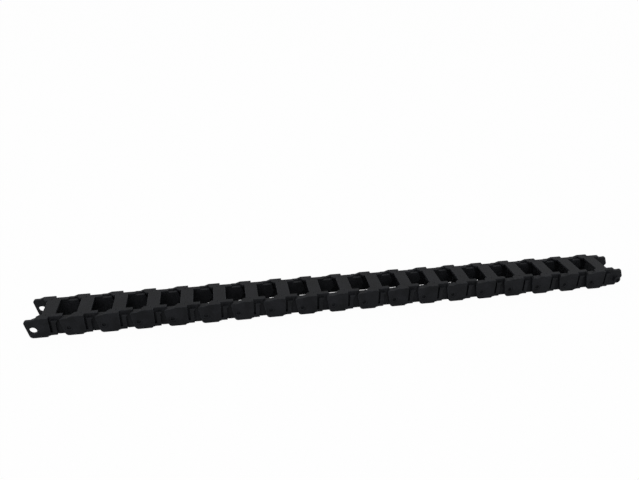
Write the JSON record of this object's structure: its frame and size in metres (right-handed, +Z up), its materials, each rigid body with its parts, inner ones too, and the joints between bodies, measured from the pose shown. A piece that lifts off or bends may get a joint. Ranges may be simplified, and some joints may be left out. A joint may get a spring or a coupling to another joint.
{
  "type": "cable drag chain",
  "caption": "Cable carrier made of hinged, one-piece plastic links with an open channel; it lies straight and curls upwards to a set bend radius.",
  "frame": {"origin": "under the middle of the straight chain, on the surface that it lies on", "axes": "+X along the chain towards the end with the snap pins, +Y across it along the hinge pins, +Z up, the way that the chain curls"},
  "size_m": [0.3888, 0.025, 0.0139],
  "materials": {
    "black_nylon": "moulded, satin to matt"
  },
  "bodies": {
    "link_01": {"link_01": "black_nylon"},
    "link_02": {"link_02": "black_nylon"},
    "link_03": {"link_03": "black_nylon"},
    "link_04": {"link_04": "black_nylon"},
    "link_05": {"link_05": "black_nylon"},
    "link_06": {"link_06": "black_nylon"},
    "link_07": {"link_07": "black_nylon"},
    "link_08": {"link_08": "black_nylon"},
    "link_09": {"link_09": "black_nylon"},
    "link_10": {"link_10": "black_nylon"},
    "link_11": {"link_11": "black_nylon"},
    "link_12": {"link_12": "black_nylon"},
    "link_13": {"link_13": "black_nylon"},
    "link_14": {"link_14": "black_nylon"},
    "link_15": {"link_15": "black_nylon"},
    "link_16": {"link_16": "black_nylon"},
    "link_17": {"link_17": "black_nylon"},
    "link_18": {"link_18": "black_nylon"},
    "link_19": {"link_19": "black_nylon"}
  },
  "joints": [
    {"name": "hinge_01", "type": "hinge", "parent": "link_02", "child": "link_01", "pos_m": [-0.17, 0, 0.0053], "axis": [0, 1, 0], "range_deg": [0, 30.5]},
    {"name": "hinge_02", "type": "hinge", "parent": "link_03", "child": "link_02", "pos_m": [-0.15, 0, 0.0053], "axis": [0, 1, 0], "range_deg": [0, 30.5]},
    {"name": "hinge_03", "type": "hinge", "parent": "link_04", "child": "link_03", "pos_m": [-0.13, 0, 0.0053], "axis": [0, 1, 0], "range_deg": [0, 30.5]},
    {"name": "hinge_04", "type": "hinge", "parent": "link_05", "child": "link_04", "pos_m": [-0.11, 0, 0.0053], "axis": [0, 1, 0], "range_deg": [0, 30.5]},
    {"name": "hinge_05", "type": "hinge", "parent": "link_06", "child": "link_05", "pos_m": [-0.09, 0, 0.0053], "axis": [0, 1, 0], "range_deg": [0, 30.5]},
    {"name": "hinge_06", "type": "hinge", "parent": "link_07", "child": "link_06", "pos_m": [-0.07, 0, 0.0053], "axis": [0, 1, 0], "range_deg": [0, 30.5]},
    {"name": "hinge_07", "type": "hinge", "parent": "link_08", "child": "link_07", "pos_m": [-0.05, 0, 0.0053], "axis": [0, 1, 0], "range_deg": [0, 30.5]},
    {"name": "hinge_08", "type": "hinge", "parent": "link_09", "child": "link_08", "pos_m": [-0.03, 0, 0.0053], "axis": [0, 1, 0], "range_deg": [0, 30.5]},
    {"name": "hinge_09", "type": "hinge", "parent": "link_10", "child": "link_09", "pos_m": [-0.01, 0, 0.0053], "axis": [0, 1, 0], "range_deg": [0, 30.5]},
    {"name": "hinge_10", "type": "hinge", "parent": "link_10", "child": "link_11", "pos_m": [0.01, 0, 0.0053], "axis": [0, 1, 0], "range_deg": [-30.5, 0]},
    {"name": "hinge_11", "type": "hinge", "parent": "link_11", "child": "link_12", "pos_m": [0.03, 0, 0.0053], "axis": [0, 1, 0], "range_deg": [-30.5, 0]},
    {"name": "hinge_12", "type": "hinge", "parent": "link_12", "child": "link_13", "pos_m": [0.05, 0, 0.0053], "axis": [0, 1, 0], "range_deg": [-30.5, 0]},
    {"name": "hinge_13", "type": "hinge", "parent": "link_13", "child": "link_14", "pos_m": [0.07, 0, 0.0053], "axis": [0, 1, 0], "range_deg": [-30.5, 0]},
    {"name": "hinge_14", "type": "hinge", "parent": "link_14", "child": "link_15", "pos_m": [0.09, 0, 0.0053], "axis": [0, 1, 0], "range_deg": [-30.5, 0]},
    {"name": "hinge_15", "type": "hinge", "parent": "link_15", "child": "link_16", "pos_m": [0.11, 0, 0.0053], "axis": [0, 1, 0], "range_deg": [-30.5, 0]},
    {"name": "hinge_16", "type": "hinge", "parent": "link_16", "child": "link_17", "pos_m": [0.13, 0, 0.0053], "axis": [0, 1, 0], "range_deg": [-30.5, 0]},
    {"name": "hinge_17", "type": "hinge", "parent": "link_17", "child": "link_18", "pos_m": [0.15, 0, 0.0053], "axis": [0, 1, 0], "range_deg": [-30.5, 0]},
    {"name": "hinge_18", "type": "hinge", "parent": "link_18", "child": "link_19", "pos_m": [0.17, 0, 0.0053], "axis": [0, 1, 0], "range_deg": [-30.5, 0]}
  ]
}
